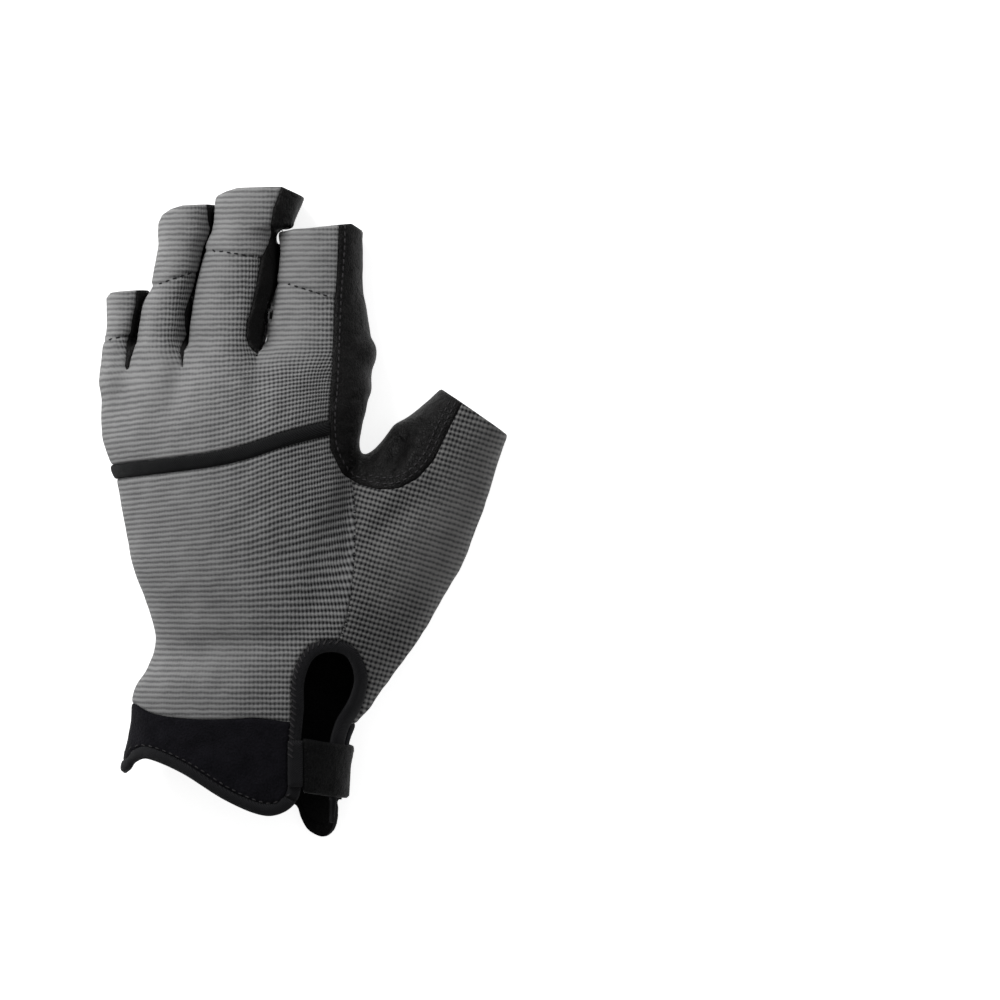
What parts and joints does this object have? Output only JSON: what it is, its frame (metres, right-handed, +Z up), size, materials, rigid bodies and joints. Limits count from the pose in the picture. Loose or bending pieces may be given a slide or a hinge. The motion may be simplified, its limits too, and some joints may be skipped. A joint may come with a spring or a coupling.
{
  "type": "fingerless trekking glove",
  "caption": "Left-hand fingerless glove with ribbed knit back, leather palm, keyhole wrist and strap closure, lying palm down.",
  "frame": {"origin": "middle of the underside of the whole glove, on the surface it lies on", "axes": "+Y towards the fingertips, +X towards the thumb, +Z up from the palm to the back of the hand"},
  "size_m": [0.134, 0.2118, 0.0383],
  "materials": {
    "knit": "ribbed grey knit, matt",
    "tape": "black twill tape",
    "side_leather": "soft black leather, fine grain",
    "palm_leather": "soft black leather with a bluish sheen",
    "cuff_cloth": "black foam-backed cuff cloth",
    "binding": "black elastic binding",
    "strap_leather": "black leather strap"
  },
  "bodies": {
    "root": {"back_fingers": "knit", "back_hand": "knit", "thumb_panel": "knit", "knuckle_tape": "tape", "index_side_panel": "side_leather", "fourchette_little_ring": "side_leather", "fourchette_ring_middle": "side_leather", "fourchette_middle_index": "side_leather", "palm_upper": "palm_leather", "palm_lower": "palm_leather", "palm_patch": "palm_leather", "cuff_back": "cuff_cloth", "cuff_palm": "cuff_cloth", "back_hem_binding": "binding", "palm_hem_binding": "binding", "keyhole_binding": "binding", "wrist_strap": "strap_leather", "strap_anchor": "binding"}
  },
  "joints": []
}
